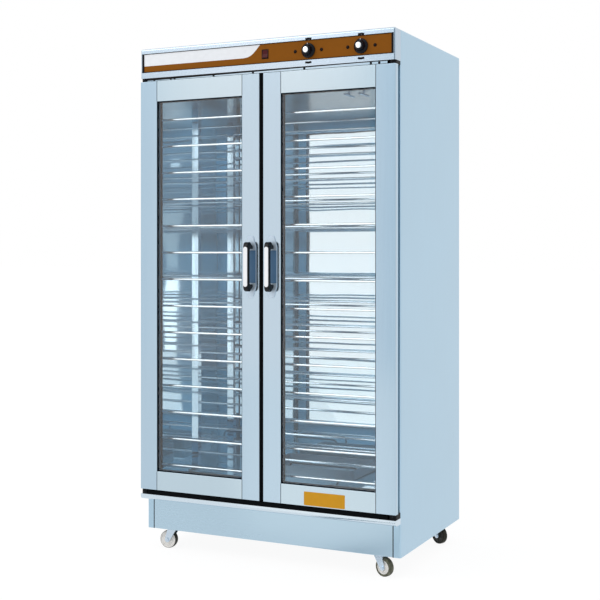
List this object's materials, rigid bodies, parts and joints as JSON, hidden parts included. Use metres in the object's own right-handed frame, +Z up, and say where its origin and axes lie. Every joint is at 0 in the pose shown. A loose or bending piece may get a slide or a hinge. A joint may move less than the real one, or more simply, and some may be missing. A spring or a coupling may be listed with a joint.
{
  "type": "two-door tray proofing cabinet",
  "caption": "Tall two-door glazed dough proofing cabinet with control header, tray racks, arched pulls and swivel casters.",
  "frame": {"origin": "on the floor, under the middle of the box that holds the whole cabinet", "axes": "+X to the right seen from the front, +Y from the doors to the back, +Z up"},
  "size_m": [1, 0.74, 1.842],
  "materials": {
    "casing_steel": "satin",
    "header_steel": "satin",
    "fascia_film": "satin",
    "base_steel": "satin",
    "liner_steel": "polished",
    "rack_steel": "polished",
    "break_plastic": "matte",
    "foam": "matte",
    "heater_steel": "satin",
    "door_steel": "satin",
    "pane": "gloss",
    "seal_rubber": "matte",
    "grip_plastic": "satin",
    "bright_strip": "polished",
    "knob_plastic": "gloss",
    "rocker_plastic": "gloss",
    "switch_plastic": "gloss",
    "lamp_lens": "gloss",
    "gland_plastic": "satin",
    "zinc_steel": "satin",
    "wheel_rubber": "satin",
    "hinge_metal": "satin"
  },
  "bodies": {
    "cabinet": {"apron_panel": "casing_steel", "back_panel": "casing_steel", "base_channels": "base_steel", "bottom_panel": "base_steel", "cable_gland": "gland_plastic", "caster_plates": "zinc_steel", "centre_mullion": "rack_steel", "control_fascia": "fascia_film", "front_tray_rods": "rack_steel", "header_box": "header_steel", "heating_elements": "heater_steel", "hinge_brackets": "hinge_metal", "hinge_rail": "header_steel", "hinge_rail_screws": "zinc_steel", "indicator_lamps": "lamp_lens", "left_side_panel": "casing_steel", "liner_back_wall": "liner_steel", "liner_ceiling": "liner_steel", "liner_floor": "liner_steel", "liner_side_walls": "liner_steel", "middle_tray_rods": "rack_steel", "opening_frame": "break_plastic", "rack_uprights": "rack_steel", "rear_tray_rods": "rack_steel", "right_side_panel": "casing_steel", "sensor_bulbs": "rack_steel", "sill_nose": "casing_steel", "sill_seal": "seal_rubber", "switch_housing": "switch_plastic", "thermostats": "switch_plastic", "top_panel": "casing_steel", "wall_insulation": "foam", "water_tray": "liner_steel"},
    "left_door": {"left_door_stiles": "door_steel", "left_door_rails": "door_steel", "left_door_glass": "pane", "left_door_glazing_seal": "seal_rubber", "left_door_gasket": "seal_rubber", "left_door_meeting_seal": "seal_rubber", "left_door_handle": "grip_plastic", "left_door_handle_strip": "bright_strip"},
    "right_door": {"right_door_stiles": "door_steel", "right_door_rails": "door_steel", "right_door_glass": "pane", "right_door_glazing_seal": "seal_rubber", "right_door_gasket": "seal_rubber", "right_door_meeting_seal": "seal_rubber", "right_door_handle": "grip_plastic", "right_door_handle_strip": "bright_strip"},
    "temperature_knob_body": {"temperature_knob": "knob_plastic"},
    "humidity_knob_body": {"humidity_knob": "knob_plastic"},
    "rocker_body": {"power_rocker": "rocker_plastic"},
    "front_left_fork_body": {"front_left_caster_fork": "zinc_steel"},
    "front_left_wheel_body": {"front_left_caster_wheel": "wheel_rubber"},
    "front_right_fork_body": {"front_right_caster_fork": "zinc_steel"},
    "front_right_wheel_body": {"front_right_caster_wheel": "wheel_rubber"},
    "rear_left_fork_body": {"rear_left_caster_fork": "zinc_steel"},
    "rear_left_wheel_body": {"rear_left_caster_wheel": "wheel_rubber"},
    "rear_right_fork_body": {"rear_right_caster_fork": "zinc_steel"},
    "rear_right_wheel_body": {"rear_right_caster_wheel": "wheel_rubber"}
  },
  "joints": [
    {"name": "right_door_hinge", "type": "hinge", "parent": "cabinet", "child": "right_door", "pos_m": [0.486, -0.314, 0.975], "axis": [0, 0, 1], "range_deg": [0, 120]},
    {"name": "left_door_hinge", "type": "hinge", "parent": "cabinet", "child": "left_door", "pos_m": [-0.486, -0.314, 0.975], "axis": [0, 0, -1], "range_deg": [0, 120]},
    {"name": "temperature_knob_turn", "type": "hinge", "parent": "cabinet", "child": "temperature_knob_body", "pos_m": [0.182, -0.328, 1.787], "axis": [0, 1, 0], "range_deg": [0, 300]},
    {"name": "humidity_knob_turn", "type": "hinge", "parent": "cabinet", "child": "humidity_knob_body", "pos_m": [0.377, -0.328, 1.787], "axis": [0, 1, 0], "range_deg": [0, 270]},
    {"name": "power_rocker_tilt", "type": "hinge", "parent": "cabinet", "child": "rocker_body", "pos_m": [0.015, -0.3235, 1.787], "axis": [1, 0, 0], "range_deg": [0, 16]},
    {"name": "front_left_caster_swivel", "type": "hinge", "parent": "cabinet", "child": "front_left_fork_body", "pos_m": [-0.405, -0.24, 0.078], "axis": [0, 0, 1], "continuous": true},
    {"name": "front_left_wheel_spin", "type": "hinge", "parent": "front_left_fork_body", "child": "front_left_wheel_body", "pos_m": [-0.43094, -0.24181, 0.0325], "axis": [0.0698, -0.9976, 0], "continuous": true},
    {"name": "front_right_caster_swivel", "type": "hinge", "parent": "cabinet", "child": "front_right_fork_body", "pos_m": [0.405, -0.24, 0.078], "axis": [0, 0, 1], "continuous": true},
    {"name": "front_right_wheel_spin", "type": "hinge", "parent": "front_right_fork_body", "child": "front_right_wheel_body", "pos_m": [0.42999, -0.24717, 0.0325], "axis": [0.2756, 0.9613, 0], "continuous": true},
    {"name": "rear_left_caster_swivel", "type": "hinge", "parent": "cabinet", "child": "rear_left_fork_body", "pos_m": [-0.432, 0.262, 0.078], "axis": [0, 0, 1], "continuous": true},
    {"name": "rear_left_wheel_spin", "type": "hinge", "parent": "rear_left_fork_body", "child": "rear_left_wheel_body", "pos_m": [-0.4576, 0.25749, 0.0325], "axis": [0.1736, -0.9848, 0], "continuous": true},
    {"name": "rear_right_caster_swivel", "type": "hinge", "parent": "cabinet", "child": "rear_right_fork_body", "pos_m": [0.432, 0.262, 0.078], "axis": [0, 0, 1], "continuous": true},
    {"name": "rear_right_wheel_spin", "type": "hinge", "parent": "rear_right_fork_body", "child": "rear_right_wheel_body", "pos_m": [0.45517, 0.2502, 0.0325], "axis": [0.454, 0.891, 0], "continuous": true}
  ]
}
